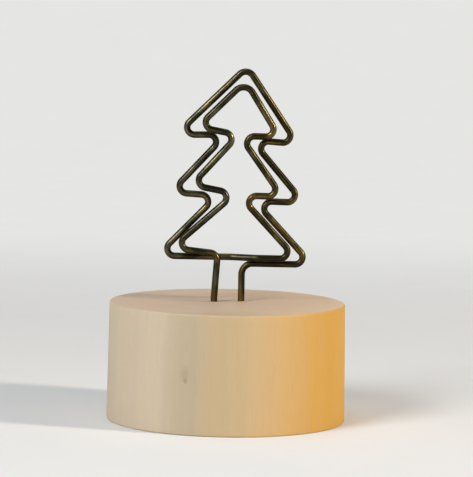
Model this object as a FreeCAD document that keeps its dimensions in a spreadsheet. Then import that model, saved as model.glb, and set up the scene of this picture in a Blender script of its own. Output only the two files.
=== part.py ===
"""A photo clip stand: a round wooden base that carries one long wire, bent twice into a fir tree's outline.

The wire climbs out of the base at the left leg, draws the front turn, crosses over to the plane behind it,
draws the larger rear turn and comes back down at the right leg. A photo is held between the two turns.
The front turn springs forward about the two low runs that carry it, so it is a piece of its own here.

Frame: +Z up, +X to the right seen from the front, +Y to the back.
The origin is the centre of the base's underside. Lengths are in millimetres.
"""
import FreeCAD, Part
import math
import os
import Sketcher
from FreeCAD import Vector

DRIVING_SIZES = {
    "base_diameter": 40.0,
    "base_foot_diameter": 40.6,
    "base_height": 20.0,
    "base_rounding": 0.3,
    "wire_diameter": 1.15,
    "slot_gap": 0.2,
    "run_tuck": 0.09,
    "flex_gap": 0.05,
    "leg_spacing": 4.6,
    "leg_offset": 0.48,
    "leg_rise": 0.8,
    "leg_depth": 12.0,
    "glue_film": 0.1,
    "glue_floor": 0.5,
    "stem_height": 7.6,
    "tree_width": 23.0,
    "tree_height": 31.3,
    "tree_shift": 1.2,
    "bend_radius": 1.25,
    "front_apex_radius": 1.75,
    "rear_apex_radius": 1.45,
    "right_leg_radius": 1.85,
    "cross_radius": 3.0,
}

# Corners of the two turns before their bends are rounded, in the order that the wire runs. The first number
# is a share of the tree's width, from its middle, and the second a share of its height above the cross run.
FRONT_CORNER_SHARES = (
    (-0.469, 0.047),
    (-0.010, 0.348),
    (-0.330, 0.391),
    (0.006, 0.666),
    (-0.294, 0.705),
    (0.051, 0.956),
    (0.306, 0.658),
    (0.017, 0.661),
    (0.336, 0.336),
    (0.020, 0.339),
)
REAR_CORNER_SHARES = (
    (-0.141, 0.332),
    (-0.484, 0.346),
    (-0.087, 0.663),
    (-0.453, 0.659),
    (0.061, 1.031),
    (0.440, 0.621),
    (0.103, 0.637),
    (0.496, 0.302),
    (0.133, 0.307),
)
FRONT_LAST_TIP_SHARE = 0.453
REAR_FIRST_TIP_SHARE = -0.577
REAR_LAST_TIP_SHARE = 0.566
FRONT_APEX_INDEX = 5
REAR_APEX_INDEX = 4

# Where the left leg ends and the front turn begins, along the low left run, and how high that run starts.
FLEX_LEFT_SHARE = 0.27
LEG_TOP_SHARE = 0.021
# Where the front turn ends, and where the wire then starts to cross to the rear plane: close to the right leg,
# because the bottom run tucks up behind the cross run.
FLEX_RIGHT_SHARE = 0.278
CROSSING_START_SHARE = 0.157
# Where the wire reaches the rear plane, and then where the crossing ends, as shares of the wire's diameter
# to the right of the left leg's top.
CROSSING_END_SHARE = 2.0
REAR_RUN_START_SHARE = 1.2

# A swept wire's volume may differ from its section times its length by this share.
VOLUME_TOLERANCE_SHARE = 0.001


def make_sheet(document):
    """Write the driving dimensions into a spreadsheet, one aliased cell each."""
    sheet = document.addObject("Spreadsheet::Sheet", "Sizes")
    for row, (alias, length) in enumerate(DRIVING_SIZES.items(), start=1):
        sheet.set(f"A{row}", alias)
        sheet.set(f"B{row}", str(length))
        sheet.setAlias(f"B{row}", alias)
    document.recompute()
    return sheet


class Length:
    """A length worked out from the driving dimensions, as a number and as an expression on the sheet."""

    def __init__(self, shares):
        self.shares = shares

    def __add__(self, other):
        aliases = [*self.shares, *(alias for alias in other.shares if alias not in self.shares)]
        return Length({alias: self.shares.get(alias, 0) + other.shares.get(alias, 0) for alias in aliases})

    def __mul__(self, factor):
        return Length({alias: share * factor for alias, share in self.shares.items()})

    def __neg__(self):
        return self * -1

    def __sub__(self, other):
        return self + -other

    def __truediv__(self, number):
        return self * (1 / number)

    def value(self, sheet):
        return sum(share * float(sheet.get(alias)) for alias, share in self.shares.items())

    def expression(self):
        return " + ".join(f"{share} * Sizes.{alias}" for alias, share in self.shares.items())


def size(alias):
    """One of the driving dimensions."""
    return Length({alias: 1})


WIRE = size("wire_diameter")
LEG_HOLE = WIRE + size("glue_film") * 2
BASE_TOP = size("base_height")
RUN_LEVEL = BASE_TOP + size("stem_height")
BOTTOM_RUN_LEVEL = RUN_LEVEL - WIRE + size("run_tuck")
FOOT_LEVEL = BASE_TOP - size("leg_depth")
REAR_PLANE = (WIRE + size("slot_gap")) / 2
FRONT_PLANE = -REAR_PLANE
RIGHT_LEG = size("leg_spacing") / 2
LEFT_LEG = -RIGHT_LEG
LEFT_LEG_TOP = LEFT_LEG + size("leg_offset")
HALF_FLEX_GAP = size("flex_gap") / 2


def across_tree(share):
    """A place across the tree, as a share of its width from its middle."""
    return size("tree_shift") + size("tree_width") * share


def tree_corner(across_share, up_share):
    """A corner of the tree's outline."""
    return across_tree(across_share), RUN_LEVEL + size("tree_height") * up_share


def between(first, second, share):
    """The point at a share of the way from one corner to the next."""
    return tuple(a * (1 - share) + b * share for a, b in zip(first, second))


LEFT_BEND = (LEFT_LEG_TOP, RUN_LEVEL + size("tree_height") * LEG_TOP_SHARE)
LEFT_FLEX = between(LEFT_BEND, tree_corner(*FRONT_CORNER_SHARES[0]), FLEX_LEFT_SHARE)
RIGHT_FLEX = across_tree(FLEX_RIGHT_SHARE)


def bend_points(before, corner, after, radius):
    """Centre and the two tangent points of a round bend at a corner."""
    to_before = (before - corner).normalize()
    to_after = (after - corner).normalize()
    half_angle = to_before.getAngle(to_after) / 2
    reach = radius / math.tan(half_angle)
    middle = (to_before + to_after).normalize()
    centre = corner + middle * (radius / math.sin(half_angle))
    return centre, corner + to_before * reach, corner + to_after * reach


def draw_bend(sketch, centre, start, end, radius):
    """Draw a bend as an arc and say which of its ends meets the run before it."""
    start_arm = start - centre
    end_arm = end - centre
    start_angle = math.atan2(start_arm.y, start_arm.x)
    end_angle = math.atan2(end_arm.y, end_arm.x)
    circle = Part.Circle(centre, Vector(0, 0, 1), radius)
    if start_arm.cross(end_arm).z > 0:
        arc = Part.ArcOfCircle(circle, start_angle, end_angle)
        return sketch.addGeometry(arc), 1, 2
    arc = Part.ArcOfCircle(circle, end_angle, start_angle)
    return sketch.addGeometry(arc), 2, 1


def bind(sketch, name, constraint, length):
    """Add a dimension to a sketch and bind it to the sheet."""
    sketch.renameConstraint(sketch.addConstraint(constraint), name)
    sketch.setExpression(f"Constraints.{name}", length.expression())


def pin(sketch, name, geometry, vertex, place):
    """Fix a point of a sketch by its two distances from the sketch's origin."""
    for kind, axis, length in zip(("DistanceX", "DistanceY"), "xy", place):
        distance = Sketcher.Constraint(kind, -1, 1, geometry, vertex, length.value(sketch.Document.Sizes))
        bind(sketch, f"{name}_{axis}", distance, length)


def attach(sketch, body, role, offset):
    """Lay a sketch on one of its body's origin planes, shifted along the plane's normal.

    The XZ plane's normal points to the front, so a place along Y is given there with its sign turned.
    """
    plane = next(feature for feature in body.Origin.OriginFeatures if feature.Role == role)
    sketch.AttachmentSupport = [(plane, "")]
    sketch.MapMode = "FlatFace"
    sketch.setExpression("AttachmentOffset.Base.z", offset.expression())


def draw_path(body, name, role, offset, corners, radii):
    """Draw straight runs from corner to corner, joined by tangent bends of the given radii."""
    sheet = body.Document.Sizes
    sketch = body.newObject("Sketcher::SketchObject", name)
    attach(sketch, body, role, offset)
    points = [Vector(across.value(sheet), up.value(sheet), 0) for across, up in corners]
    marks = [sketch.addGeometry(Part.Point(point), True) for point in points]
    for index, (mark, place) in enumerate(zip(marks, corners)):
        pin(sketch, f"corner_{index}", mark, 1, place)
    last = len(points) - 1
    run_start = points[0]
    bend = None
    bend_end = None
    for index in range(last):
        radius = None
        run_end = points[index + 1]
        if index + 1 < last:
            radius = radii[index].value(sheet)
            centre, run_end, next_start = bend_points(*points[index : index + 3], radius)
        run = sketch.addGeometry(Part.LineSegment(run_start, run_end))
        if bend is None:
            sketch.addConstraint(Sketcher.Constraint("Coincident", run, 1, marks[index], 1))
        else:
            sketch.addConstraint(Sketcher.Constraint("Tangent", bend, bend_end, run, 1))
            sketch.addConstraint(Sketcher.Constraint("PointOnObject", marks[index], 1, run))
        if radius is None:
            sketch.addConstraint(Sketcher.Constraint("Coincident", run, 2, marks[index + 1], 1))
            break
        sketch.addConstraint(Sketcher.Constraint("PointOnObject", marks[index + 1], 1, run))
        bend, bend_start, bend_end = draw_bend(sketch, centre, run_end, next_start, radius)
        sketch.addConstraint(Sketcher.Constraint("Tangent", run, 2, bend, bend_start))
        bind(sketch, f"bend_{index}", Sketcher.Constraint("Radius", bend, radius), radii[index])
        run_start = next_start
    return sketch


def draw_circles(body, name, role, offset, places, diameter):
    """Draw equal circles on one of the body's planes."""
    sheet = body.Document.Sizes
    width = diameter.value(sheet)
    sketch = body.newObject("Sketcher::SketchObject", name)
    attach(sketch, body, role, offset)
    for index, place in enumerate(places):
        centre = Vector(place[0].value(sheet), place[1].value(sheet), 0)
        circle = sketch.addGeometry(Part.Circle(centre, Vector(0, 0, 1), width / 2))
        pin(sketch, f"centre_{index}", circle, 3, place)
        bind(sketch, f"diameter_{index}", Sketcher.Constraint("Diameter", circle, width), diameter)
    return sketch


def add_pipe(body, name, path, profile):
    """Sweep the wire's round section along a path."""
    body.Document.recompute()
    pipe = body.newObject("PartDesign::AdditivePipe", name)
    pipe.Profile = profile
    pipe.Spine = (path, [f"Edge{number}" for number in range(1, len(path.Shape.Edges) + 1)])
    body.Tip = pipe
    return pipe


def new_body(document, label):
    """Start a sub-part."""
    body = document.addObject("PartDesign::Body", label)
    body.Label = label
    return body


def make_base(document):
    """The turned wooden disc, a little wider at its foot, with a blind hole for each leg and rounded rims."""
    body = new_body(document, "wooden_base")
    disc = body.newObject("PartDesign::AdditiveCone", "base_disc")
    disc.setExpression("Radius1", "Sizes.base_foot_diameter / 2")
    disc.setExpression("Radius2", "Sizes.base_diameter / 2")
    disc.setExpression("Height", "Sizes.base_height")
    places = [(LEFT_LEG, FRONT_PLANE), (RIGHT_LEG, REAR_PLANE)]
    mouths = draw_circles(body, "leg_hole_mouths", "XY_Plane", BASE_TOP, places, LEG_HOLE)
    document.recompute()
    holes = body.newObject("PartDesign::Pocket", "leg_holes")
    holes.Profile = mouths
    holes.setExpression("Length", "Sizes.leg_depth + Sizes.glue_floor")
    document.recompute()
    radii = [float(document.Sizes.get(alias)) / 2 for alias in ("base_diameter", "base_foot_diameter")]
    rims = [
        f"Edge{number}"
        for number, edge in enumerate(holes.Shape.Edges, start=1)
        if isinstance(edge.Curve, Part.Circle) and any(math.isclose(edge.Curve.Radius, radius) for radius in radii)
    ]
    rounding = body.newObject("PartDesign::Fillet", "base_rims")
    rounding.Base = (holes, rims)
    rounding.setExpression("Radius", "Sizes.base_rounding")
    body.Tip = rounding
    return body


def make_left_leg(document):
    """The leg that stands in the left hole and turns out into the start of the low left run."""
    body = new_body(document, "left_leg")
    corners = [
        (LEFT_LEG, FOOT_LEVEL),
        (LEFT_LEG, BASE_TOP + size("leg_rise")),
        LEFT_BEND,
        (LEFT_FLEX[0] + HALF_FLEX_GAP, LEFT_FLEX[1]),
    ]
    radii = [size("cross_radius"), size("bend_radius")]
    path = draw_path(body, "left_leg_path", "XZ_Plane", -FRONT_PLANE, corners, radii)
    place = (LEFT_LEG, FRONT_PLANE)
    foot = draw_circles(body, "left_foot", "XY_Plane", FOOT_LEVEL, [place], WIRE)
    add_pipe(body, "left_leg_wire", path, foot)
    return body


def make_front_turn(document):
    """The smaller tree outline, in the front plane, from the low left run round to the cross run."""
    body = new_body(document, "front_turn")
    end = RIGHT_FLEX + HALF_FLEX_GAP
    corners = [
        (LEFT_FLEX[0] - HALF_FLEX_GAP, LEFT_FLEX[1]),
        *[tree_corner(*shares) for shares in FRONT_CORNER_SHARES],
        (across_tree(FRONT_LAST_TIP_SHARE), RUN_LEVEL),
        (end, RUN_LEVEL),
    ]
    radii = [size("bend_radius") for corner in corners[1:-1]]
    radii[FRONT_APEX_INDEX] = size("front_apex_radius")
    path = draw_path(body, "front_turn_path", "XZ_Plane", -FRONT_PLANE, corners, radii)
    place = (FRONT_PLANE, RUN_LEVEL)
    section = draw_circles(body, "front_turn_section", "YZ_Plane", end, [place], WIRE)
    add_pipe(body, "front_turn_wire", path, section)
    return body


def make_rear_turn(document):
    """The crossing, the larger tree outline in the rear plane, the bottom run and the right leg."""
    body = new_body(document, "rear_turn")
    start = RIGHT_FLEX - HALF_FLEX_GAP
    joint = LEFT_LEG_TOP + WIRE * REAR_RUN_START_SHARE
    crossing = [
        (start, FRONT_PLANE),
        (across_tree(CROSSING_START_SHARE), FRONT_PLANE),
        (LEFT_LEG_TOP + WIRE * CROSSING_END_SHARE, REAR_PLANE),
        (joint, REAR_PLANE),
    ]
    radii = [size("cross_radius"), size("cross_radius")]
    path = draw_path(body, "crossing_path", "XY_Plane", RUN_LEVEL, crossing, radii)
    place = (FRONT_PLANE, RUN_LEVEL)
    section = draw_circles(body, "crossing_section", "YZ_Plane", start, [place], WIRE)
    add_pipe(body, "crossing_wire", path, section)
    corners = [
        (RIGHT_LEG, FOOT_LEVEL),
        (RIGHT_LEG, BOTTOM_RUN_LEVEL),
        (across_tree(REAR_LAST_TIP_SHARE), BOTTOM_RUN_LEVEL),
        *[tree_corner(*shares) for shares in reversed(REAR_CORNER_SHARES)],
        (across_tree(REAR_FIRST_TIP_SHARE), RUN_LEVEL),
        (joint, RUN_LEVEL),
    ]
    radii = [size("bend_radius") for corner in corners[1:-1]]
    radii[0] = size("right_leg_radius")
    radii[-2 - REAR_APEX_INDEX] = size("rear_apex_radius")
    path = draw_path(body, "rear_turn_path", "XZ_Plane", -REAR_PLANE, corners, radii)
    place = (RIGHT_LEG, REAR_PLANE)
    foot = draw_circles(body, "right_foot", "XY_Plane", FOOT_LEVEL, [place], WIRE)
    add_pipe(body, "rear_turn_wire", path, foot)
    return body


def make_glue(document, label, across, depth_plane):
    """The hardened glue that fills the hole round and under one foot."""
    fill = document.addObject("Part::Cylinder", f"{label}_fill")
    fill.setExpression("Radius", "Sizes.wire_diameter / 2 + Sizes.glue_film")
    fill.setExpression("Height", "Sizes.leg_depth + Sizes.glue_floor")
    fill.setExpression("Placement.Base.z", "Sizes.base_height - Sizes.leg_depth - Sizes.glue_floor")
    foot = document.addObject("Part::Cylinder", f"{label}_foot")
    foot.setExpression("Radius", "Sizes.wire_diameter / 2")
    foot.setExpression("Height", "Sizes.leg_depth")
    foot.setExpression("Placement.Base.z", "Sizes.base_height - Sizes.leg_depth")
    for solid in (fill, foot):
        solid.setExpression("Placement.Base.x", across.expression())
        solid.setExpression("Placement.Base.y", depth_plane.expression())
    glue = document.addObject("Part::Cut", label)
    glue.Base = fill
    glue.Tool = foot
    glue.Label = label
    return glue


def check(document, pieces):
    """Stop if any object failed, or any piece is empty or broken."""
    for thing in document.Objects:
        if "Invalid" in thing.State or "Error" in thing.State:
            raise RuntimeError(f"{thing.Name} failed: {thing.State}")
    for piece in pieces:
        shape = piece.Shape
        if shape.isNull() or not shape.isValid() or not shape.Solids:
            raise RuntimeError(f"{piece.Label} has no valid solid")
        print(f"{piece.Label}: {len(shape.Solids)} solid, {shape.Volume:.3f} cubic millimetres")


def check_wire(document, pieces):
    """Stop if a wire's volume isn't its section times its length."""
    section = math.pi * (float(document.Sizes.get("wire_diameter")) / 2) ** 2
    for piece in pieces:
        paths = [feature.Shape for feature in piece.Group if feature.Name.endswith("_path")]
        length = sum(path.Length for path in paths)
        if not math.isclose(piece.Shape.Volume, section * length, rel_tol=VOLUME_TOLERANCE_SHARE):
            raise RuntimeError(f"{piece.Label} isn't as long as its path")
        print(f"{piece.Label}: {length:.1f} millimetres of wire")


def main():
    document = FreeCAD.newDocument("photo_tree_stand")
    make_sheet(document)
    wires = [make_left_leg(document), make_front_turn(document), make_rear_turn(document)]
    pieces = [
        make_base(document),
        *wires,
        make_glue(document, "left_glue", LEFT_LEG, FRONT_PLANE),
        make_glue(document, "right_glue", RIGHT_LEG, REAR_PLANE),
    ]
    document.recompute()
    check(document, pieces)
    check_wire(document, wires)
    os.makedirs("parts", exist_ok=True)
    for piece in pieces:
        piece.Shape.exportStep(f"parts/{piece.Label}.step")


main()
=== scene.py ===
import math

import bmesh
import bpy
from bpy.props import FloatProperty, FloatVectorProperty, PointerProperty
from mathutils import Matrix, Quaternion, Vector, noise


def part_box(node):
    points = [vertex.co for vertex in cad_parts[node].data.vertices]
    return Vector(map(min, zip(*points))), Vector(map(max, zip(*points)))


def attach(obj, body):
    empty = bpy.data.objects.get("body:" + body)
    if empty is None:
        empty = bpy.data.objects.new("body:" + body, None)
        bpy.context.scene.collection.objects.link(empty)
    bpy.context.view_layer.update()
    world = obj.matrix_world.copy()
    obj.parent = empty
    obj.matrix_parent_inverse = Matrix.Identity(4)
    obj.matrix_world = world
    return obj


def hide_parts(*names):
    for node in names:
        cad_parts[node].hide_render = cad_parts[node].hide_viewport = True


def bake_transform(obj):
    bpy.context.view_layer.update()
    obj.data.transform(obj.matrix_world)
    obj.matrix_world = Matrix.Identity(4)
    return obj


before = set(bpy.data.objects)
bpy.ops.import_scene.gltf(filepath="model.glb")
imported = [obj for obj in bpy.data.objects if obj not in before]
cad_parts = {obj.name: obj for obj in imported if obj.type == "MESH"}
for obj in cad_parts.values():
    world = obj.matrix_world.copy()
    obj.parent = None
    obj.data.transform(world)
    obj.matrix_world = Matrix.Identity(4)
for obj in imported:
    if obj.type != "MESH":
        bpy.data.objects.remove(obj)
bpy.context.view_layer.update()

# A photo clip stand: a turned wooden base that carries one wire, bent twice into the outline of a fir tree.
# +Z is up, +X is to the right of someone who looks at the front turn, and +Y goes to the back.

bl_info = {
    "name": "Photo Clip Stand",
    "version": (1, 0, 0),
    "blender": (4, 5, 0),
    "location": "View3D > Sidebar > Clip Stand",
    "description": "Makes the turned wooden base, the bent wire and the glue of a photo clip stand",
    "category": "Object",
}

MM = 0.001
STAND_BODY = "stand"

BASE_LOW, BASE_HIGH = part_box("wooden_base")
FRONT_LOW, FRONT_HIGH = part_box("front_turn")
REAR_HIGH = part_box("rear_turn")[1]
LEFT_GLUE_LOW, LEFT_GLUE_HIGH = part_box("left_glue")
RIGHT_GLUE_LOW, RIGHT_GLUE_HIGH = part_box("right_glue")
FOOT_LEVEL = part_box("left_leg")[0].z

# Corners of the two turns before their bends are rounded, in the order that the wire runs. The first number
# is a share of the tree's width, from its middle, and the second a share of its height above the cross run.
FRONT_CORNER_SHARES = (
    (-0.469, 0.047),
    (-0.010, 0.348),
    (-0.330, 0.391),
    (0.006, 0.666),
    (-0.294, 0.705),
    (0.051, 0.956),
    (0.306, 0.658),
    (0.017, 0.661),
    (0.336, 0.336),
    (0.020, 0.339),
)
REAR_CORNER_SHARES = (
    (-0.141, 0.332),
    (-0.484, 0.346),
    (-0.087, 0.663),
    (-0.453, 0.659),
    (0.061, 1.031),
    (0.440, 0.621),
    (0.103, 0.637),
    (0.496, 0.302),
    (0.133, 0.307),
)
FRONT_APEX_INDEX = 5
REAR_APEX_INDEX = 4
FRONT_LAST_TIP_SHARE = 0.453
REAR_FIRST_TIP_SHARE = -0.577
REAR_LAST_TIP_SHARE = 0.566
LEG_TOP_SHARE = 0.021
# The front turn is a piece of its own between these two places, where it flexes.
FLEX_LEFT_SHARE = 0.27
FLEX_RIGHT_SHARE = 0.278
# The wire crosses from the front plane to the rear one, from a share of the tree's width to this many of
# its own diameters to the right of the left leg's top.
CROSSING_START_SHARE = 0.157
CROSSING_END_SHARE = 2.0


class ClipStandWireSizes(bpy.types.PropertyGroup):
    """Sizes of the bent wire."""

    diameter: FloatProperty(
        name="Wire diameter",
        description="Thickness of the wire",
        default=FRONT_HIGH.y - FRONT_LOW.y,
        unit="LENGTH",
    )
    tree_width: FloatProperty(
        name="Tree width",
        description="Width that the corners of the tree are set out on",
        default=23.0 * MM,
        unit="LENGTH",
    )
    tree_height: FloatProperty(
        name="Tree height",
        description="Height that the corners of the tree are set out on, above the cross run",
        default=31.3 * MM,
        unit="LENGTH",
    )
    tree_shift: FloatProperty(
        name="Tree shift",
        description="How far the tree's middle stands to the right of the base's middle",
        default=1.2 * MM,
        unit="LENGTH",
    )
    bend_radius: FloatProperty(
        name="Bend radius",
        description="Radius of a bend, along the middle of the wire",
        default=1.25 * MM,
        unit="LENGTH",
    )
    front_apex_radius: FloatProperty(
        name="Front apex radius",
        description="Radius of the bend at the top of the front turn",
        default=1.75 * MM,
        unit="LENGTH",
    )
    rear_apex_radius: FloatProperty(
        name="Rear apex radius",
        description="Radius of the bend at the top of the rear turn",
        default=1.45 * MM,
        unit="LENGTH",
    )
    right_leg_radius: FloatProperty(
        name="Right leg radius",
        description="Radius of the wider bend at the top of the right leg",
        default=1.85 * MM,
        unit="LENGTH",
    )
    crossing_radius: FloatProperty(
        name="Crossing radius",
        description="Radius of the gentle bends where the wire changes from plane to plane",
        default=3.0 * MM,
        unit="LENGTH",
    )
    run_tuck: FloatProperty(
        name="Run tuck",
        description="How far the bottom run tucks up behind the cross run",
        default=0.09 * MM,
        unit="LENGTH",
    )
    leg_rise: FloatProperty(
        name="Leg rise",
        description="How far the left leg stands straight above the wood before it leans",
        default=0.8 * MM,
        unit="LENGTH",
    )
    leg_offset: FloatProperty(
        name="Leg offset",
        description="How far the left leg leans to the right at its top",
        default=0.48 * MM,
        unit="LENGTH",
    )


class ClipStandBaseSizes(bpy.types.PropertyGroup):
    """Sizes of the wooden base and of the glue in its two holes."""

    foot_diameter: FloatProperty(
        name="Foot diameter",
        description="Width of the turned base at its foot",
        default=BASE_HIGH.x - BASE_LOW.x,
        unit="LENGTH",
    )
    diameter: FloatProperty(
        name="Base diameter",
        description="Width of the turned base at its top",
        default=40.0 * MM,
        unit="LENGTH",
    )
    height: FloatProperty(
        name="Base height",
        description="Height of the turned base",
        default=BASE_HIGH.z,
        unit="LENGTH",
    )
    rounding: FloatProperty(
        name="Rim rounding",
        description="Mean radius of the sanded rims",
        default=0.3 * MM,
        unit="LENGTH",
    )
    hole_diameter: FloatProperty(
        name="Hole diameter",
        description="Width of each drilled hole, which the glue fills round the wire",
        default=LEFT_GLUE_HIGH.x - LEFT_GLUE_LOW.x,
        unit="LENGTH",
    )
    hole_floor: FloatProperty(
        name="Hole floor",
        description="Height of the holes' floors above the underside",
        default=LEFT_GLUE_LOW.z,
        unit="LENGTH",
    )


class ClipStandFinishes(bpy.types.PropertyGroup):
    """Colours of the wood, the wire and the glue."""

    pale_wood: FloatVectorProperty(
        name="Pale wood",
        description="Most of the wood",
        default=(0.60, 0.49, 0.35, 1.0),
        size=4,
        subtype="COLOR",
    )
    # Honey heartwood along the right of the base, with the warm light of the lamp on that side painted in.
    honey_wood_and_warm_light: FloatVectorProperty(
        name="Honey wood",
        description="The warm heartwood along the right of the base",
        default=(0.585, 0.314, 0.052, 1.0),
        size=4,
        subtype="COLOR",
    )
    # Painted shade: a broad darker band down the middle of the front.
    shaded_wood: FloatVectorProperty(
        name="Shaded wood",
        description="The broad duller band along the middle of the front",
        default=(0.505, 0.38, 0.215, 1.0),
        size=4,
        subtype="COLOR",
    )
    grey_wood: FloatVectorProperty(
        name="Grey wood",
        description="The mineral streak that runs down past the knot",
        default=(0.50, 0.41, 0.28, 1.0),
        size=4,
        subtype="COLOR",
    )
    knot_brown: FloatVectorProperty(
        name="Knot brown",
        description="The small pin knot",
        default=(0.34, 0.235, 0.145, 1.0),
        size=4,
        subtype="COLOR",
    )
    end_grain: FloatVectorProperty(
        name="End grain",
        description="The pinkish top and underside, where the fibres end",
        default=(0.58, 0.435, 0.315, 1.0),
        size=4,
        subtype="COLOR",
    )
    # Painted light: the top and underside are painted paler and warmer toward the right, as if lit by the
    # lamp there.
    end_grain_painted_light: FloatVectorProperty(
        name="Warm end grain",
        description="The paler right side of the top and underside",
        default=(0.65, 0.475, 0.315, 1.0),
        size=4,
        subtype="COLOR",
    )
    brass: FloatVectorProperty(
        name="Brass",
        description="The wire where its patina has rubbed thin",
        default=(0.208, 0.147, 0.052, 1.0),
        size=4,
        subtype="COLOR",
    )
    olive_patina: FloatVectorProperty(
        name="Olive patina",
        description="The greenish patina on much of the wire",
        default=(0.061, 0.063, 0.039, 1.0),
        size=4,
        subtype="COLOR",
    )
    russet_patina: FloatVectorProperty(
        name="Russet patina",
        description="The reddish brown patina on the rest of the wire",
        default=(0.092, 0.061, 0.015, 1.0),
        size=4,
        subtype="COLOR",
    )
    # Also the painted shade on the right-facing sides of the legs and of the tree's left half.
    dark_patina_and_shade: FloatVectorProperty(
        name="Dark patina",
        description="The patina where it lies thickest",
        default=(0.018, 0.016, 0.007, 1.0),
        size=4,
        subtype="COLOR",
    )
    glue: FloatVectorProperty(
        name="Glue",
        description="Hardened glue",
        default=(0.42, 0.29, 0.15, 1.0),
        size=4,
        subtype="COLOR",
    )


class ClipStandStage(bpy.types.PropertyGroup):
    """The camera, the lamps and the pale sweep that the stand is shown on."""

    camera_distance: FloatProperty(
        name="Camera distance",
        description="How far the camera stands in front of the base's middle",
        default=480.0 * MM,
        unit="LENGTH",
    )
    camera_height: FloatProperty(
        name="Camera height",
        description="Height of the camera above the floor",
        default=76.0 * MM,
        unit="LENGTH",
    )
    camera_side: FloatProperty(
        name="Camera side step",
        description="How far the camera stands to the right of the base's middle",
        default=1.33 * MM,
        unit="LENGTH",
    )
    camera_pitch: FloatProperty(
        name="Camera pitch",
        description="How far the camera looks down",
        default=math.radians(5.377),
        unit="ROTATION",
    )
    camera_roll: FloatProperty(
        name="Camera roll",
        description="How far the camera is turned about its own line of sight",
        default=math.radians(1.1),
        unit="ROTATION",
    )
    focal_length: FloatProperty(
        name="Focal length",
        description="Lens of the camera in millimetres, on a 36 millimetre sensor",
        default=214.64,
    )
    key_power: FloatProperty(
        name="Key lamp",
        description="Power of the warm lamp on the right",
        default=3.25,
        unit="POWER",
    )
    fill_power: FloatProperty(
        name="Fill lamp",
        description="Power of the lamp high on the left",
        default=3.3,
        unit="POWER",
    )
    front_power: FloatProperty(
        name="Front lamp",
        description="Power of the broad lamp in front",
        default=0.5,
        unit="POWER",
    )
    top_power: FloatProperty(
        name="Top lamp",
        description="Power of the soft lamp overhead",
        default=1.1,
        unit="POWER",
    )
    sweep_colour: FloatVectorProperty(
        name="Sweep colour",
        description="The pale floor and backdrop",
        default=(0.78, 0.78, 0.77, 1.0),
        size=4,
        subtype="COLOR",
    )


def add_node(tree, kind, inputs=None, **settings):
    """Add a shader node, set its properties, and set or link its inputs."""
    made = tree.nodes.new(kind)
    for name, value in settings.items():
        setattr(made, name, value)
    for name, value in (inputs or {}).items():
        if isinstance(value, bpy.types.NodeSocket):
            tree.links.new(value, made.inputs[name])
        else:
            made.inputs[name].default_value = value
    return made


def mix_colours(tree, factor, first, second, blend="MIX"):
    """Mix two colours by a factor."""
    names = {0: factor, 6: first, 7: second}
    return add_node(tree, "ShaderNodeMix", names, data_type="RGBA", blend_type=blend).outputs[2]


def remap(tree, value, low, high, to_low=0.0, to_high=1.0, smooth=False):
    """Turn a range of values into another, clamped at both ends."""
    places = {"Value": value, 1: low, 2: high, 3: to_low, 4: to_high}
    kind = "SMOOTHSTEP" if smooth else "LINEAR"
    return add_node(tree, "ShaderNodeMapRange", places, interpolation_type=kind).outputs[0]


def maths(tree, operation, first, second=0.0):
    """Work out one operation on two numbers."""
    return add_node(tree, "ShaderNodeMath", {0: first, 1: second}, operation=operation).outputs[0]


def vector_maths(tree, operation, first, second):
    """Work out one operation on two vectors."""
    return add_node(tree, "ShaderNodeVectorMath", {0: first, 1: second}, operation=operation).outputs[0]


def placed(tree, vector, scale, location=(0, 0, 0)):
    """Coordinates stretched by a scale after a shift."""
    return vector_maths(tree, "MULTIPLY", vector_maths(tree, "SUBTRACT", vector, location), scale)


def cloud(tree, vector, scale, detail=2.0, roughness=0.5):
    """A noise pattern's value."""
    values = {"Vector": vector, "Scale": scale, "Detail": detail, "Roughness": roughness}
    return add_node(tree, "ShaderNodeTexNoise", values).outputs["Fac"]


def spot(tree, vector, centre, reach):
    """How near a place is to a centre: 1 there and 0 from the reach outwards, given along each axis."""
    scale = tuple(1 / length for length in reach)
    near = placed(tree, vector, scale, centre)
    distance = add_node(tree, "ShaderNodeVectorMath", {0: near}, operation="LENGTH").outputs["Value"]
    return remap(tree, distance, 0.0, 1.0, 1.0, 0.0, smooth=True)


def empty_material(name):
    """A material with an empty node tree."""
    material = bpy.data.materials.new(name)
    material.use_nodes = True
    material.node_tree.nodes.clear()
    return material, material.node_tree


def new_material(name):
    """A material with its output and a Principled shader."""
    material, tree = empty_material(name)
    shader = add_node(tree, "ShaderNodeBsdfPrincipled")
    add_node(tree, "ShaderNodeOutputMaterial", {"Surface": shader.outputs[0]})
    return material, tree, shader


def as_millimetres(tree, vector):
    """Coordinates in metres as coordinates in millimetres."""
    return add_node(tree, "ShaderNodeVectorMath", {0: vector, "Scale": 1 / MM}, operation="SCALE").outputs[0]


def in_millimetres(tree):
    """The place on the piece in the CAD frame's axes, in millimetres."""
    return as_millimetres(tree, add_node(tree, "ShaderNodeTexCoord").outputs["Object"])


def part_along(tree, vector, axis):
    """One of a vector's three numbers."""
    return add_node(tree, "ShaderNodeSeparateXYZ", {0: vector}).outputs[axis]


def surface_facing(tree, axis):
    """How far the surface faces along an axis."""
    return part_along(tree, add_node(tree, "ShaderNodeTexCoord").outputs["Normal"], axis)


def dress(tree, shader, colour, roughness, relief, strength, height):
    """Link a colour, a roughness and a relief to a shader."""
    bump = add_node(tree, "ShaderNodeBump", {"Strength": strength, "Distance": height, "Height": relief})
    tree.links.new(colour, shader.inputs["Base Color"])
    tree.links.new(roughness, shader.inputs["Roughness"])
    tree.links.new(bump.outputs[0], shader.inputs["Normal"])


# Lengths and places on the wood are in millimetres. The growth rings have their middle outside the base.
PITH = (-58.0, 40.0, 0.0)
RING_WIDTH = 2.1
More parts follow.
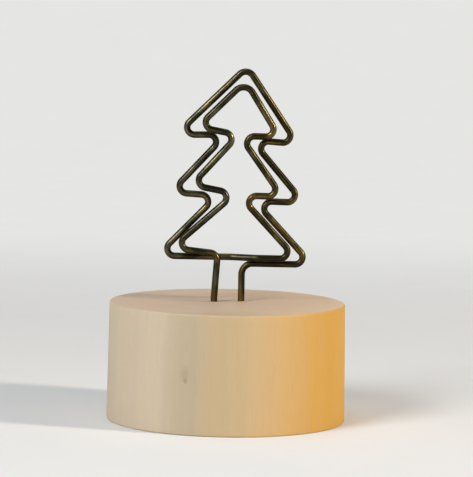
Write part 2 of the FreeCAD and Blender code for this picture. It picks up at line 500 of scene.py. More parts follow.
# How wide a ring of the wave pattern is at a scale of 1.
WAVE_WIDTH = math.tau / 20
# The rings and fibres wander sideways by up to half of this width, in a coarse pattern.
WANDER_WIDTH = 2.4
WANDER_SCALE = 0.12
WANDER_STRETCH = (1.0, 1.0, 0.25)
# How fine each pattern is across the fibres and along them, per millimetre.
FIBRE_SCALES = (7.0, 7.0, 0.22)
BAND_SCALES = (0.42, 0.42, 0.02)
FLECK_SCALES = (11.0, 11.0, 0.75)
# The honey tint, heartwood colour with the warm light of the lamp on the right painted into it, grows from
# left to right, is moved about by the bands, and fades toward the back.
HONEY_LEFT = -9.5
HONEY_RIGHT = 16.5
HONEY_WANDER = 1.6
HONEY_FADE_FRONT = -2.0
HONEY_FADE_BACK = 20.0
HONEY_FADE = 13.0
# The painted light on the end grain grows over this span, from left to right.
PAINTED_LIGHT_END_LEFT = -4.0
PAINTED_LIGHT_END_RIGHT = 14.0
# Where end grain starts to show and where it is full, by how far the face looks up or down.
END_GRAIN_FACING = (0.93, 0.995)
# The marks on the front, and a broad band of painted shade (SHADE): the middle of each, how far it reaches
# along each axis, and how strong it is.
KNOT = (-6.62, -18.9, 9.05)
KNOT_REACH = (0.5, 1.2, 0.6)
KNOT_STRENGTH = 0.85
SMEAR = (-6.7, -18.8, 10.15)
SMEAR_REACH = (1.2, 2.0, 1.9)
SMEAR_STRENGTH = 0.3
STREAK = (-7.3, -19.0, 10.0)
STREAK_REACH = (5.2, 3.4, 60.0)
STREAK_STRENGTH = 0.8
# SHADE is painted shade, not a mark in the wood.
SHADE = (-0.5, -19.5, 10.0)
SHADE_REACH = (12.5, 9.0, 90.0)
SHADE_STRENGTH = 0.8
# How much lighter or darker the rings, the fibres and the bands make the wood, and how dark a fleck is.
RING_TONES = (1.006, 0.986)
FIBRE_TONES = (0.965, 1.03)
BAND_TONES = (0.975, 1.02)
FLECK_TONE = 0.93
# How high the fibres and the rings stand in the bump, and how deep a fleck is.
FIBRE_RELIEF = 0.6
RING_RELIEF = 0.15
FLECK_RELIEF = 0.5
WOOD_BUMP = 0.35
WOOD_BUMP_HEIGHT = 0.03 * MM
# From the darker fibres to the paler.
WOOD_ROUGHNESS = (0.66, 0.54)
WOOD_GLOSS = 0.35


def wood_material(finishes):
    """Pale close-grained wood, cut with its fibres upright, so that the top shows end grain."""
    material, tree, shader = new_material("upright_grain_wood")
    place = in_millimetres(tree)
    coarse = {"Vector": placed(tree, place, WANDER_STRETCH), "Scale": WANDER_SCALE, "Detail": 2.0}
    wander = add_node(tree, "ShaderNodeTexNoise", coarse).outputs["Color"]
    wander = placed(tree, wander, (WANDER_WIDTH, WANDER_WIDTH, 0.0), (0.5, 0.5, 0.5))
    warped = vector_maths(tree, "ADD", place, wander)

    rings = add_node(
        tree,
        "ShaderNodeTexWave",
        {
            "Vector": placed(tree, warped, (1, 1, 0), PITH),
            "Scale": WAVE_WIDTH / RING_WIDTH,
            "Distortion": 0.0,
        },
        wave_type="RINGS",
        rings_direction="Z",
        wave_profile="SAW",
    ).outputs["Fac"]
    fibres = cloud(tree, placed(tree, warped, FIBRE_SCALES), 1.0, 3.0, 0.6)
    bands = cloud(tree, placed(tree, warped, BAND_SCALES), 1.0, 2.0, 0.55)
    fleck = cloud(tree, placed(tree, warped, FLECK_SCALES), 1.0, 1.0, 0.4)
    fleck = remap(tree, fleck, 0.66, 0.76)

    # Honey heartwood toward the right, with painted warm light from the lamp on that side.
    across = part_along(tree, warped, "X")
    banded = maths(tree, "ADD", across, remap(tree, bands, 0.3, 0.7, -HONEY_WANDER, HONEY_WANDER))
    depth = part_along(tree, warped, "Y")
    faded = remap(tree, depth, HONEY_FADE_FRONT, HONEY_FADE_BACK, 0.0, HONEY_FADE)
    honey = remap(tree, maths(tree, "SUBTRACT", banded, faded), HONEY_LEFT, HONEY_RIGHT)
    colour = mix_colours(tree, honey, tuple(finishes.pale_wood), tuple(finishes.honey_wood_and_warm_light))

    upright = maths(tree, "ABSOLUTE", surface_facing(tree, "Z"))
    end_grain = remap(tree, upright, *END_GRAIN_FACING, smooth=True)
    # Painted light: the end grain turns paler and warmer toward the right.
    painted_light_end = remap(tree, across, PAINTED_LIGHT_END_LEFT, PAINTED_LIGHT_END_RIGHT)
    end_colour = mix_colours(tree, painted_light_end, tuple(finishes.end_grain), tuple(finishes.end_grain_painted_light))
    colour = mix_colours(tree, end_grain, colour, end_colour)

    grey = tuple(finishes.grey_wood)
    # Painted shade: a broad darker band down the middle of the front.
    shade = maths(tree, "MULTIPLY", spot(tree, warped, SHADE, SHADE_REACH), SHADE_STRENGTH)
    colour = mix_colours(tree, shade, colour, tuple(finishes.shaded_wood))
    streak = maths(tree, "MULTIPLY", spot(tree, warped, STREAK, STREAK_REACH), STREAK_STRENGTH)
    colour = mix_colours(tree, streak, colour, grey)
    smear = maths(tree, "MULTIPLY", spot(tree, place, SMEAR, SMEAR_REACH), SMEAR_STRENGTH)
    colour = mix_colours(tree, smear, colour, grey, "MULTIPLY")
    knot = spot(tree, place, KNOT, KNOT_REACH)
    brown = maths(tree, "MULTIPLY", knot, KNOT_STRENGTH)
    colour = mix_colours(tree, brown, colour, tuple(finishes.knot_brown))

    tone = remap(tree, rings, 0.0, 1.0, *RING_TONES)
    tone = maths(tree, "MULTIPLY", tone, remap(tree, fibres, 0.25, 0.75, *FIBRE_TONES))
    tone = maths(tree, "MULTIPLY", tone, remap(tree, bands, 0.3, 0.7, *BAND_TONES))
    tone = maths(tree, "MULTIPLY", tone, remap(tree, fleck, 0.0, 1.0, 1.0, FLECK_TONE))
    toned = add_node(tree, "ShaderNodeCombineColor", {0: tone, 1: tone, 2: tone}).outputs[0]
    colour = mix_colours(tree, 1.0, colour, toned, "MULTIPLY")

    relief = maths(tree, "MULTIPLY", fibres, FIBRE_RELIEF)
    relief = maths(tree, "ADD", relief, maths(tree, "MULTIPLY", rings, RING_RELIEF))
    relief = maths(tree, "SUBTRACT", relief, maths(tree, "MULTIPLY", fleck, FLECK_RELIEF))
    relief = maths(tree, "SUBTRACT", relief, knot)
    roughness = remap(tree, fibres, 0.2, 0.8, *WOOD_ROUGHNESS)
    dress(tree, shader, colour, roughness, relief, WOOD_BUMP, WOOD_BUMP_HEIGHT)
    shader.inputs["Specular IOR Level"].default_value = WOOD_GLOSS
    return material


# Lengths and places on the wire are in millimetres. Near the feet the patina is thinner and redder. Toward
# the tree's right it is redder, partly patina and partly painted light, warm on the right and cool on the
# left.
# The legs and the tree's left half get painted shade on their right-facing sides.
BARE_LOW = 21.0
BARE_HIGH = 26.0
BARE_SHARE = 0.4
RUSSET_LOW = 20.5
RUSSET_HIGH = 24.0
# Toward the right the patina turns redder: partly patina, partly painted warm light on the right and cool
# light on the left.
RUSSET_LEFT = -6.0
RUSSET_RIGHT = 8.0
RUSSET_SHIFTS = (-0.6, 0.5)
# Where the painted shade on the right-facing sides reaches: up the legs, and across the tree's left half.
FLANK_LOW = 27.0
FLANK_HIGH = 29.0
FLANK_LEFT = -8.0
FLANK_RIGHT = 3.0
LEG_FLANK_SHARE = 0.8
TREE_FLANK_SHARE = 0.6
# How much dark patina the thick spots have, and how much brass shows through the thin spots and on worn
# bends. The painted shade on the right-facing sides and the specks cover some of it again.
THICK_SHARE = 0.85
THIN_SHARE = 0.6
WORN_SHARE = 0.5
PAINTED_SHADE_SHARE = 0.6
SPECK_SHARE = 0.06
# How fine each pattern is round the wire and along it, per millimetre.
DRAW_LINE_SCALES = (3.2, 3.2, 0.1)
MOTTLE_SCALES = (1.1, 1.1, 0.3)
HUE_SCALES = (0.9, 0.9, 0.14)
HUE_SHIFT = (3.0, 8.0, 0.0)
SPECK_SCALES = (5.0, 5.0, 2.5)
# From the thick patina to the thin.
WIRE_ROUGHNESS = (0.37, 0.31)
WIRE_BUMP = 0.03
WIRE_BUMP_HEIGHT = 0.01 * MM
WIRE_EDGE_TINT = (0.55, 0.52, 0.45, 1.0)
WIRE_COAT = 0.12
WIRE_COAT_ROUGHNESS = 0.2
# The names under which the mesh keeps each point's place on the unbent wire and its wear.
STRAIGHT = "straight_wire"
WEAR = "bend_wear"


def wire_material(finishes):
    """Drawn brass wire under an antique patina, rubbed thin on the outside of its bends."""
    material, tree, shader = new_material("antique_brass")
    straight = add_node(tree, "ShaderNodeAttribute", attribute_name=STRAIGHT).outputs["Vector"]
    along = as_millimetres(tree, straight)
    wear = add_node(tree, "ShaderNodeAttribute", attribute_name=WEAR).outputs["Fac"]
    draw_lines = cloud(tree, placed(tree, along, DRAW_LINE_SCALES), 1.0, 1.0, 0.5)
    mottle = cloud(tree, placed(tree, along, MOTTLE_SCALES), 1.0, 2.0, 0.5)
    hues = cloud(tree, placed(tree, along, HUE_SCALES, HUE_SHIFT), 1.0, 2.0, 0.5)
    specks = cloud(tree, placed(tree, along, SPECK_SCALES), 1.0, 1.0, 0.4)

    place = in_millimetres(tree)
    across = part_along(tree, place, "X")
    height = part_along(tree, place, "Z")
    # Redder toward the right: partly patina, partly painted warm light on the right and cool light on the
    # left.
    russet_and_warm_light = remap(tree, hues, 0.42, 0.62, smooth=True)
    russet_and_warm_light = maths(tree, "ADD", russet_and_warm_light, remap(tree, across, RUSSET_LEFT, RUSSET_RIGHT, *RUSSET_SHIFTS))
    russet_and_warm_light = maths(tree, "ADD", russet_and_warm_light, remap(tree, height, RUSSET_LOW, RUSSET_HIGH, 1.0, 0.0))
    patina = mix_colours(tree, russet_and_warm_light, tuple(finishes.olive_patina), tuple(finishes.russet_patina))

    # Painted shade: the right-facing sides of the legs and of the tree's left half are darkened.
    legs = remap(tree, height, FLANK_LOW, FLANK_HIGH, LEG_FLANK_SHARE, 0.0)
    left_half = remap(tree, across, FLANK_LEFT, FLANK_RIGHT, TREE_FLANK_SHARE, 0.0)
    painted_shade_sides = remap(tree, surface_facing(tree, "X"), 0.0, 0.8, smooth=True)
    painted_shade_sides = maths(tree, "MULTIPLY", painted_shade_sides, maths(tree, "MAXIMUM", legs, left_half))
    thick_patina_and_shade = remap(tree, mottle, 0.60, 0.42, 0.0, THICK_SHARE, smooth=True)
    thick_patina_and_shade = maths(tree, "ADD", thick_patina_and_shade, painted_shade_sides)
    colour = mix_colours(tree, thick_patina_and_shade, patina, tuple(finishes.dark_patina_and_shade))

    thin = remap(tree, mottle, 0.52, 0.75, 0.0, THIN_SHARE)
    thin = maths(tree, "ADD", thin, maths(tree, "MULTIPLY", wear, WORN_SHARE))
    thin = maths(tree, "MULTIPLY", thin, remap(tree, draw_lines, 0.3, 0.7, 0.8, 1.0))
    thin = maths(tree, "ADD", thin, remap(tree, height, BARE_LOW, BARE_HIGH, BARE_SHARE, 0.0))
    # The painted shade also hides the brass on those sides.
    thin = maths(tree, "SUBTRACT", thin, maths(tree, "MULTIPLY", painted_shade_sides, PAINTED_SHADE_SHARE))
    thin = maths(tree, "SUBTRACT", thin, remap(tree, specks, 0.60, 0.72, 0.0, SPECK_SHARE))
    thin = add_node(tree, "ShaderNodeClamp", {"Value": thin, "Min": 0.0, "Max": 1.0}).outputs[0]
    colour = mix_colours(tree, thin, colour, tuple(finishes.brass))

    roughness = remap(tree, mottle, 0.35, 0.65, *WIRE_ROUGHNESS)
    dress(tree, shader, colour, roughness, draw_lines, WIRE_BUMP, WIRE_BUMP_HEIGHT)
    shader.inputs["Metallic"].default_value = 1.0
    shader.inputs["Specular Tint"].default_value = WIRE_EDGE_TINT
    shader.inputs["Coat Weight"].default_value = WIRE_COAT
    shader.inputs["Coat Roughness"].default_value = WIRE_COAT_ROUGHNESS
    return material


CLOUD_SCALE = 3.0
CLOUDED_SHARE = 1.35
GLUE_ROUGHNESS = (0.22, 0.4)
GLUE_COAT = 0.3


def glue_material(finishes):
    """Hardened amber glue, a little clouded."""
    material, tree, shader = new_material("amber_glue")
    clouding = cloud(tree, in_millimetres(tree), CLOUD_SCALE, 3.0)
    pale = tuple(channel * CLOUDED_SHARE for channel in finishes.glue[:3]) + (1.0,)
    colour = mix_colours(tree, remap(tree, clouding, 0.35, 0.65), tuple(finishes.glue), pale)
    tree.links.new(colour, shader.inputs["Base Color"])
    tree.links.new(remap(tree, clouding, 0.3, 0.7, *GLUE_ROUGHNESS), shader.inputs["Roughness"])
    shader.inputs["Coat Weight"].default_value = GLUE_COAT
    return material


def material_for(name, make, finishes):
    """The material of that name, made on its first use."""
    return bpy.data.materials.get(name) or make(finishes)


def mesh_from(bm, name):
    """The mesh of a finished bmesh."""
    mesh = bpy.data.meshes.new(name)
    bm.to_mesh(mesh)
    bm.free()
    return mesh


def add_object(name, data):
    """Put a mesh, a lamp or a camera into the scene."""
    made = bpy.data.objects.new(name, data)
    bpy.context.scene.collection.objects.link(made)
    return made


# How far a piece may stay inside the box of its CAD node, or leave it.
FIT_TOLERANCE = 0.15 * MM


def new_piece(name, mesh, material, node):
    """Put a finished mesh into the scene in place of a CAD node."""
    mesh.materials.append(material)
    piece = add_object(name, mesh)
    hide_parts(node)
    low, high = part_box(node)
    for axis in range(3):
        places = [vertex.co[axis] for vertex in mesh.vertices]
        if min(places) < low[axis] - FIT_TOLERANCE or max(places) > high[axis] + FIT_TOLERANCE:
            raise RuntimeError(f"{name} leaves the space of {node}")
        if min(places) > low[axis] + FIT_TOLERANCE or max(places) < high[axis] - FIT_TOLERANCE:
            raise RuntimeError(f"{name} doesn't fill the space of {node}")
    return piece


SHARP_ANGLE = math.radians(50)


def finish_mesh(mesh):
    """Smooth shading, with true edges left sharp."""
    mesh.shade_smooth()
    mesh.set_sharp_from_angle(angle=SHARP_ANGLE)


def spin(bm, profile, segments, middle=Vector((0, 0, 0)), reshape=None):
    """Turn a profile of radii and heights about an upright axis. A radius of zero makes a single point."""
    rings = []
    for radius, height in profile:
        if radius == 0:
            rings.append([bm.verts.new(middle + Vector((0, 0, height)))])
            continue
        ring = []
        for step in range(segments):
            angle = math.tau * step / segments
            here, level = reshape(angle, radius, height) if reshape else (radius, height)
            point = Vector((here * math.cos(angle), here * math.sin(angle), level))
            ring.append(bm.verts.new(middle + point))
        rings.append(ring)
    for lower, upper in zip(rings, rings[1:]):
        for step in range(segments):
            after = (step + 1) % segments
            if len(lower) == 1:
                bm.faces.new((lower[0], upper[after], upper[step]))
            elif len(upper) == 1:
                bm.faces.new((lower[step], lower[after], upper[0]))
            else:
                bm.faces.new((lower[step], lower[after], upper[after], upper[step]))


BASE_SEGMENTS = 288
SIDE_ROWS = 30
ROUNDING_STEPS = 7
HOLE_SEGMENTS = 48
# Where the flat faces have rings of points, as shares of the way from the middle to the rim.
FACE_RING_SHARES = (0.25, 0.5, 0.75, 0.92)
# How much the rims' rounding varies, how far the side dips inward, and how fine both patterns are.
RIM_UNEVEN_SHARE = 0.16
RIM_UNEVEN_SCALE = 2.1
SIDE_UNEVEN = 0.02 * MM
SIDE_UNEVEN_SCALE = 1.7
SIDE_UNEVEN_SHIFT = Vector((4, 4, 4))


def base_profile(base):
    """Radii and heights of an upright base, from its underside's middle round to its top's middle."""
    radius = base.diameter / 2
    rounding = base.rounding
    flat = radius - rounding
    profile = [(0, 0)]
    profile += [(flat * share, 0) for share in FACE_RING_SHARES]
    for step in range(ROUNDING_STEPS + 1):
        turn = math.pi / 2 * step / ROUNDING_STEPS
        profile.append((flat + rounding * math.sin(turn), rounding * (1 - math.cos(turn))))
    side = base.height - 2 * rounding
    profile += [(radius, rounding + side * row / SIDE_ROWS) for row in range(1, SIDE_ROWS)]
    for step in range(ROUNDING_STEPS + 1):
        turn = math.pi / 2 * step / ROUNDING_STEPS
        profile.append((flat + rounding * math.cos(turn), base.height - rounding * (1 - math.sin(turn))))
    profile += [(flat * share, base.height) for share in reversed(FACE_RING_SHARES)]
    return profile + [(0, base.height)]


def turn_base(base):
    """The turned disc, a little wider at its foot, with uneven sanded rims and a side not quite true."""
    radius = base.diameter / 2
    rim = base.rounding
    flare = base.foot_diameter / base.diameter - 1

    def hand_sanded(angle, here, level):
        about = Vector((math.cos(angle), math.sin(angle), level / base.height))
        from_edge = radius - here
        wider = 1 + flare * (1 - level / base.height)
        if level in (0, base.height) and from_edge > rim:
            return here * wider, level
        uneven = 1 + RIM_UNEVEN_SHARE * noise.noise(about * RIM_UNEVEN_SCALE)
        dip = noise.noise(about * SIDE_UNEVEN_SCALE + SIDE_UNEVEN_SHIFT)
        inward = SIDE_UNEVEN * (0.5 + 0.5 * dip)
        above = min(level, base.height - level)
        if above < rim:
            rounded = min(from_edge * uneven, rim * (1 + RIM_UNEVEN_SHARE))
            return (radius - rounded - inward) * wider, level
        return (here - inward) * wider, level

    bm = bmesh.new()
    spin(bm, base_profile(base), BASE_SEGMENTS, reshape=hand_sanded)
    return mesh_from(bm, "turned_base")


def drill(mesh, base, centres):
    """Cut the leg holes into the base."""
    bm = bmesh.new()
    depth = base.height - base.hole_floor
    for centre in centres:
        middle = Vector((centre.x, centre.y, base.hole_floor + depth))
        bmesh.ops.create_cone(
            bm,
            cap_ends=True,
            segments=HOLE_SEGMENTS,
            radius1=base.hole_diameter / 2,
            radius2=base.hole_diameter / 2,
            depth=2 * depth,
            matrix=Matrix.Translation(middle),
        )
    cutter = add_object("drill", mesh_from(bm, "drill"))
    blank = add_object("blank", mesh)
    cut = blank.modifiers.new("holes", "BOOLEAN")
    cut.operation = "DIFFERENCE"
    cut.solver = "EXACT"
    cut.object = cutter
    graph = bpy.context.evaluated_depsgraph_get()
    drilled = bpy.data.meshes.new_from_object(blank.evaluated_get(graph))
    for thing in (cutter, blank):
        bpy.data.objects.remove(thing)
    return drilled


def middle_of(low, high):
    """The middle of a box, seen from above."""
    return Vector(((low.x + high.x) / 2, (low.y + high.y) / 2, 0))


LEFT_HOLE = middle_of(LEFT_GLUE_LOW, LEFT_GLUE_HIGH)
RIGHT_HOLE = middle_of(RIGHT_GLUE_LOW, RIGHT_GLUE_HIGH)


class CLIP_STAND_OT_turn_base(bpy.types.Operator):
    """Turn the wooden base and drill its two holes"""

    bl_idname = "clip_stand.turn_base"
    bl_label = "Turn the base"

    def execute(self, context):
        base = context.scene.clip_stand_base
        finishes = context.scene.clip_stand_finishes
        mesh = drill(turn_base(base), base, (LEFT_HOLE, RIGHT_HOLE))
        finish_mesh(mesh)
        wood = material_for("upright_grain_wood", wood_material, finishes)
        piece = new_piece("turned_wooden_base", mesh, wood, "wooden_base")
        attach(piece, STAND_BODY)
        return {"FINISHED"}


class Stop:
    """A corner of the wire's line, with the radius of its bend, or a cut between two pieces."""

    def __init__(self, place, radius=None):
        self.place = place
        self.radius = radius


def wire_stops(wire):
    """The wire's corners from foot to foot, and its cuts as stops with no radius."""
    base_top = BASE_HIGH.z
    front = FRONT_LOW.y + wire.diameter / 2
    rear = REAR_HIGH.y - wire.diameter / 2
    run = FRONT_LOW.z + wire.diameter / 2
    bottom = run - wire.diameter + wire.run_tuck
    leg_top_x = LEFT_HOLE.x + wire.leg_offset
    bend = wire.bend_radius

    def across(share):
        return wire.tree_shift + wire.tree_width * share

    def corners(shares, plane, apex, apex_radius):
        places = [Vector((across(side), plane, run + wire.tree_height * up)) for side, up in shares]
        stops = [Stop(place, bend) for place in places]
        stops[apex].radius = apex_radius
        return stops

    leg_top = Vector((leg_top_x, front, run + wire.tree_height * LEG_TOP_SHARE))
    front_turn = corners(FRONT_CORNER_SHARES, front, FRONT_APEX_INDEX, wire.front_apex_radius)
    rear_turn = corners(REAR_CORNER_SHARES, rear, REAR_APEX_INDEX, wire.rear_apex_radius)
    return [
        Stop(Vector((LEFT_HOLE.x, front, FOOT_LEVEL))),
        Stop(Vector((LEFT_HOLE.x, front, base_top + wire.leg_rise)), wire.crossing_radius),
        Stop(leg_top, bend),
        Stop(leg_top.lerp(front_turn[0].place, FLEX_LEFT_SHARE)),
        *front_turn,
        Stop(Vector((across(FRONT_LAST_TIP_SHARE), front, run)), bend),
        Stop(Vector((across(FLEX_RIGHT_SHARE), front, run))),
        Stop(Vector((across(CROSSING_START_SHARE), front, run)), wire.crossing_radius),
        Stop(Vector((leg_top_x + CROSSING_END_SHARE * wire.diameter, rear, run)), wire.crossing_radius),
        Stop(Vector((across(REAR_FIRST_TIP_SHARE), rear, run)), bend),
        *rear_turn,
        Stop(Vector((across(REAR_LAST_TIP_SHARE), rear, bottom)), bend),
        Stop(Vector((RIGHT_HOLE.x, rear, bottom)), wire.right_leg_radius),
        Stop(Vector((RIGHT_HOLE.x, rear, FOOT_LEVEL))),
    ]


BEND_STEP = math.radians(5)
RUN_STEP = 0.5 * MM
SAME_PLACE = 0.001 * MM


class Sample:
    """A place on the wire's middle line: where it is, which way a bend turns there, and how sharply."""

    def __init__(self, place, inward=None, bent=0.0, cut=False):
        self.place = place
        self.inward = inward or Vector((0, 1, 0))
        self.bent = bent
        self.cut = cut


def round_bend(before, stop, after):
    """Samples along the arc that rounds a corner."""
    to_before = (before - stop.place).normalized()
    to_after = (after - stop.place).normalized()
    half_angle = to_before.angle(to_after) / 2
    reach = stop.radius / math.tan(half_angle)
    centre = stop.place + (to_before + to_after).normalized() * (stop.radius / math.sin(half_angle))
    arm = stop.place + to_before * reach - centre
    axis = arm.cross(stop.place + to_after * reach - centre).normalized()
    turn = math.pi - 2 * half_angle
    steps = max(2, math.ceil(turn / BEND_STEP))
    samples = []
    for step in range(steps + 1):
        out = Quaternion(axis, turn * step / steps) @ arm
        bent = math.sin(math.pi * step / steps) * min(1, turn)
        samples.append(Sample(centre + out, -out.normalized(), bent))
    return samples


def sample_wire(stops):
    """Samples along the whole wire, close together in the bends and evenly spaced along the runs."""
    samples = [Sample(stops[0].place)]
    for before, stop, after in zip(stops, stops[1:], stops[2:]):
        if stop.radius is None:
            arrived = [Sample(stop.place, cut=True)]
        else:
            arrived = round_bend(before.place, stop, after.place)
        add_run(samples, arrived[0].place)
        samples += arrived[1:] if (arrived[0].place - samples[-1].place).length < SAME_PLACE else arrived
    add_run(samples, stops[-1].place)
    samples.append(Sample(stops[-1].place))
    return samples


def add_run(samples, end):
    """Add evenly spaced samples between the last one and the end of a straight run."""
    start = samples[-1].place
    steps = math.ceil((end - start).length / RUN_STEP)
    samples += [Sample(start.lerp(end, step / steps)) for step in range(1, steps)]


RING_SIDES = 32
# Bending makes the wire a little flatter and wider, and its gauge varies a little along it.
BEND_FLATTEN_SHARE = 0.03
BEND_SPREAD_SHARE = 0.015
GAUGE_UNEVEN_SHARE = 0.008
GAUGE_WAVE = 3.0 * MM


def wire_rings(samples, radius):
    """The wire's surface as rings of points, each with its place on the unbent wire and its bend wear."""
    places = [sample.place for sample in samples]
    side = Vector((0, 1, 0))
    length = 0.0
    rings = []
    for index, sample in enumerate(samples):
        before = places[max(index - 1, 0)]
        after = places[min(index + 1, len(places) - 1)]
        heading = (after - before).normalized()
        side = (side - heading * side.dot(heading)).normalized()
        up = heading.cross(side)
        if index:
            length += (sample.place - places[index - 1]).length
        uneven = 0.5 + 0.5 * noise.noise(Vector((length / GAUGE_WAVE, 0, 0)))
        gauge = radius * (1 - GAUGE_UNEVEN_SHARE * uneven)
        spread = heading.cross(sample.inward)
        ring = []
        for step in range(RING_SIDES):
            angle = math.tau * step / RING_SIDES
            out = side * math.cos(angle) + up * math.sin(angle)
            outside = -out.dot(sample.inward)
            offset = out * gauge
            offset -= sample.inward * offset.dot(sample.inward) * BEND_FLATTEN_SHARE * sample.bent
            offset += spread * offset.dot(spread) * BEND_SPREAD_SHARE * sample.bent
            straight = Vector((radius * math.cos(angle), radius * math.sin(angle), length))
            wear = max(0.0, outside) * sample.bent
            ring.append((sample.place + offset, straight, wear))
        rings.append(ring)
    return rings


def wire_mesh(name, rings):
    """A closed tube through some rings."""
    bm = bmesh.new()
    straight_layer = bm.verts.layers.float_vector.new(STRAIGHT)
    wear_layer = bm.verts.layers.float.new(WEAR)
    made = []
    for ring in rings:
        loop = []
        for place, straight, wear in ring:
            vertex = bm.verts.new(place)
            vertex[straight_layer] = straight
            vertex[wear_layer] = wear
            loop.append(vertex)
        made.append(loop)
    for lower, upper in zip(made, made[1:]):
        for step in range(RING_SIDES):
            after = (step + 1) % RING_SIDES
            bm.faces.new((lower[step], lower[after], upper[after], upper[step]))
    bm.faces.new(reversed(made[0]))
    bm.faces.new(made[-1])
    bmesh.ops.recalc_face_normals(bm, faces=bm.faces)
    mesh = mesh_from(bm, name)
    finish_mesh(mesh)
    return mesh


class CLIP_STAND_OT_bend_wire(bpy.types.Operator):
    """Bend the wire from its left foot round both turns to its right foot, in three pieces"""

    bl_idname = "clip_stand.bend_wire"
    bl_label = "Bend the wire"

    def execute(self, context):
        wire = context.scene.clip_stand_wire
        finishes = context.scene.clip_stand_finishes
        brass = material_for("antique_brass", wire_material, finishes)
        samples = sample_wire(wire_stops(wire))
        rings = wire_rings(samples, wire.diameter / 2)
        first, last = [index for index, sample in enumerate(samples) if sample.cut]
        spans = {
            "left_leg": rings[: first + 1],
            "front_turn": rings[first : last + 1],
            "rear_turn": rings[last:],
        }
        pieces = {}
        for node, span in spans.items():
            mesh = wire_mesh(f"{node}_wire", span)
            pieces[node] = new_piece(f"{node}_wire", mesh, brass, node)
        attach(pieces["left_leg"], STAND_BODY)
        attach(pieces["rear_turn"], STAND_BODY)
        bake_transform(pieces["front_turn"])
        return {"FINISHED"}


GLUE_SEGMENTS = 48
MENISCUS_STEPS = 5
# How far the glue creeps up the wire, and how far it sinks at the hole's edge.
MENISCUS = 0.09 * MM
SUNK = 0.03 * MM


def glue_bead(name, base, wire, centre):
    """The glue round and under one foot, which creeps up the wire and sinks a little at the hole's edge."""
    outer = base.hole_diameter / 2
    inner = wire.diameter / 2
    profile = [(0, base.hole_floor), (outer, base.hole_floor), (outer, base.height - SUNK)]
    for step in range(1, MENISCUS_STEPS + 1):
        share = step / MENISCUS_STEPS
        level = base.height - SUNK + (SUNK + MENISCUS) * share**2
        profile.append((outer + (inner - outer) * share, level))
    profile += [(inner, FOOT_LEVEL), (0, FOOT_LEVEL)]
    bm = bmesh.new()
    spin(bm, profile, GLUE_SEGMENTS, centre)
    bmesh.ops.recalc_face_normals(bm, faces=bm.faces)
    mesh = mesh_from(bm, name)
    finish_mesh(mesh)
    return mesh


class CLIP_STAND_OT_set_glue(bpy.types.Operator):
    """Fill the two holes with glue round the wire's feet"""

    bl_idname = "clip_stand.set_glue"
    bl_label = "Set the glue"

    def execute(self, context):
        base = context.scene.clip_stand_base
        wire = context.scene.clip_stand_wire
        finishes = context.scene.clip_stand_finishes
        amber = material_for("amber_glue", glue_material, finishes)
        for side, centre in (("left", LEFT_HOLE), ("right", RIGHT_HOLE)):
            mesh = glue_bead(f"{side}_glue_bead", base, wire, centre)
            bead = new_piece(f"{side}_glue_bead", mesh, amber, f"{side}_glue")
            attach(bead, STAND_BODY)
        return {"FINISHED"}


# The sweep's front edge, the start and radius of its curve, its top and half of its width, in metres.
SWEEP_FRONT = -3.0
SWEEP_BEND = 0.55
SWEEP_RADIUS = 0.5
SWEEP_TOP = 2.5
SWEEP_HALF_WIDTH = 3.0
SWEEP_STEPS = 16


def sweep_mesh():
    """A floor that curves up into a backdrop behind the stand."""
    line = [(SWEEP_FRONT, 0.0)]
    for step in range(SWEEP_STEPS + 1):
        turn = math.pi / 2 * step / SWEEP_STEPS
        line.append((SWEEP_BEND + SWEEP_RADIUS * math.sin(turn), SWEEP_RADIUS * (1 - math.cos(turn))))
    line.append((SWEEP_BEND + SWEEP_RADIUS, SWEEP_TOP))
    bm = bmesh.new()
    rows = []
    for depth, height in line:
        rows.append([bm.verts.new((side * SWEEP_HALF_WIDTH, depth, height)) for side in (-1, 1)])
    for near, far in zip(rows, rows[1:]):
        bm.faces.new((near[0], near[1], far[1], far[0]))
    mesh = mesh_from(bm, "sweep")
    mesh.shade_smooth()
    return mesh


# The paper starts to glow at the first of these depths behind the stand, and glows fully from the second.
GLOW_START = 0.05
GLOW_END = 0.35
PAPER_FIBRE_SCALE = 60.0
PAPER_WHITE_SHARE = 0.05
WHITE = (1.0, 1.0, 1.0, 1.0)


def sweep_material(colour):
    """Matt paper that stays pale behind the stand and keeps its shadow on the floor."""
    material, tree = empty_material("sweep_paper")
    place = add_node(tree, "ShaderNodeTexCoord").outputs["Object"]
    fibre = cloud(tree, place, PAPER_FIBRE_SCALE, 3.0)
    whiter = remap(tree, fibre, 0.3, 0.7, 0.0, PAPER_WHITE_SHARE)
    tint = mix_colours(tree, whiter, tuple(colour), WHITE)
    paper = add_node(tree, "ShaderNodeBsdfDiffuse", {"Color": tint}).outputs[0]
    glow = add_node(tree, "ShaderNodeEmission", {"Color": tint, "Strength": 1.0}).outputs[0]
    path = add_node(tree, "ShaderNodeLightPath")
    seen = maths(tree, "MAXIMUM", path.outputs["Is Camera Ray"], path.outputs["Is Glossy Ray"])
    seen = maths(tree, "MAXIMUM", seen, path.outputs["Is Transmission Ray"])
    far = remap(tree, part_along(tree, place, "Y"), GLOW_START, GLOW_END, smooth=True)
    share = maths(tree, "MULTIPLY", seen, far)
    mixed = add_node(tree, "ShaderNodeMixShader", {0: share, 1: paper, 2: glow}).outputs[0]
    add_node(tree, "ShaderNodeOutputMaterial", {"Surface": mixed})
    return material


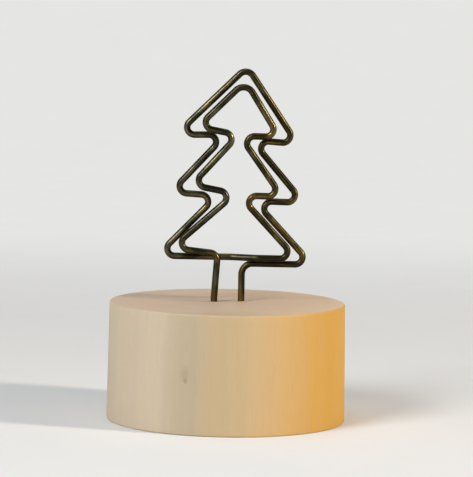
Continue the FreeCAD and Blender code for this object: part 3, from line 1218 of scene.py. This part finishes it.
# Where the lamps point. Each lamp has its name, its place, its width and height in metres, its colour and
# the setting that holds its power.
AIM = Vector((0.0, 0.0, 0.02))
LAMPS = (
    ("key_lamp", (0.56, -0.20, 0.28), (0.07, 0.07), (1.0, 0.91, 0.80), "key_power"),
    ("fill_lamp", (-0.38, -0.45, 0.42), (0.27, 0.27), (0.97, 0.98, 1.0), "fill_power"),
    ("front_lamp", (-0.25, -0.9, 0.12), (0.9, 0.5), (0.97, 0.98, 1.0), "front_power"),
    ("top_lamp", (-0.1, 0.05, 0.80), (0.5, 0.5), (1.0, 0.98, 0.95), "top_power"),
)


def add_softbox(name, place, face, colour, power):
    """An area lamp that points at the stand."""
    lamp = bpy.data.lights.new(name, "AREA")
    lamp.shape = "RECTANGLE"
    lamp.size, lamp.size_y = face
    lamp.energy = power
    lamp.color = colour
    box = add_object(name, lamp)
    box.location = place
    box.rotation_euler = (AIM - Vector(place)).to_track_quat("-Z", "Y").to_euler()


SENSOR_WIDTH = 36.0
NEAREST = 0.01
FARTHEST = 20.0


def add_camera(stage):
    """The camera in front of the stand, looking slightly down and slightly rolled."""
    lens = bpy.data.cameras.new("camera")
    lens.lens = stage.focal_length
    lens.sensor_width = SENSOR_WIDTH
    lens.clip_start = NEAREST
    lens.clip_end = FARTHEST
    camera = add_object("camera", lens)
    level = Matrix.Rotation(math.pi / 2 - stage.camera_pitch, 4, "X")
    rolled = Matrix.Rotation(stage.camera_roll, 4, "Z")
    place = Matrix.Translation((stage.camera_side, -stage.camera_distance, stage.camera_height))
    camera.matrix_world = place @ level @ rolled
    bpy.context.scene.camera = camera


WORLD_COLOUR = (0.80, 0.86, 0.94, 1.0)
WORLD_STRENGTH = 0.2


class CLIP_STAND_OT_set_stage(bpy.types.Operator):
    """Lay the pale sweep and set the lamps, the world and the camera"""

    bl_idname = "clip_stand.set_stage"
    bl_label = "Set the stage"

    def execute(self, context):
        stage = context.scene.clip_stand_stage
        mesh = sweep_mesh()
        mesh.materials.append(sweep_material(stage.sweep_colour))
        sweep = add_object("sweep", mesh)
        for name, place, face, colour, power in LAMPS:
            add_softbox(name, place, face, colour, getattr(stage, power))
        world = bpy.data.worlds.new("studio")
        world.use_nodes = True
        background = world.node_tree.nodes["Background"]
        background.inputs["Color"].default_value = WORLD_COLOUR
        background.inputs["Strength"].default_value = WORLD_STRENGTH
        context.scene.world = world
        add_camera(stage)
        context.scene.view_settings.view_transform = "Standard"
        return {"FINISHED"}


class CLIP_STAND_PT_panel(bpy.types.Panel):
    """Lists the steps that make the stand and the sizes and colours that they use"""

    bl_idname = "CLIP_STAND_PT_panel"
    bl_label = "Photo Clip Stand"
    bl_space_type = "VIEW_3D"
    bl_region_type = "UI"
    bl_category = "Clip Stand"

    def draw(self, context):
        for step in OPERATORS:
            self.layout.operator(step.bl_idname)
        for name in SETTINGS:
            group = getattr(context.scene, name)
            box = self.layout.box()
            for setting in group.bl_rna.properties:
                if setting.identifier not in {"rna_type", "name"}:
                    box.prop(group, setting.identifier)


SETTINGS = {
    "clip_stand_base": ClipStandBaseSizes,
    "clip_stand_wire": ClipStandWireSizes,
    "clip_stand_finishes": ClipStandFinishes,
    "clip_stand_stage": ClipStandStage,
}
OPERATORS = (
    CLIP_STAND_OT_turn_base,
    CLIP_STAND_OT_bend_wire,
    CLIP_STAND_OT_set_glue,
    CLIP_STAND_OT_set_stage,
)


def register():
    for shown in (*SETTINGS.values(), *OPERATORS, CLIP_STAND_PT_panel):
        bpy.utils.register_class(shown)
    for name, group in SETTINGS.items():
        setattr(bpy.types.Scene, name, PointerProperty(type=group))


def unregister():
    for name in SETTINGS:
        delattr(bpy.types.Scene, name)
    for shown in reversed((*SETTINGS.values(), *OPERATORS, CLIP_STAND_PT_panel)):
        bpy.utils.unregister_class(shown)


def main():
    """Make the whole stand."""
    register()
    bpy.ops.clip_stand.turn_base()
    bpy.ops.clip_stand.bend_wire()
    bpy.ops.clip_stand.set_glue()
    bpy.ops.clip_stand.set_stage()


if __name__ == "__main__":
    main()
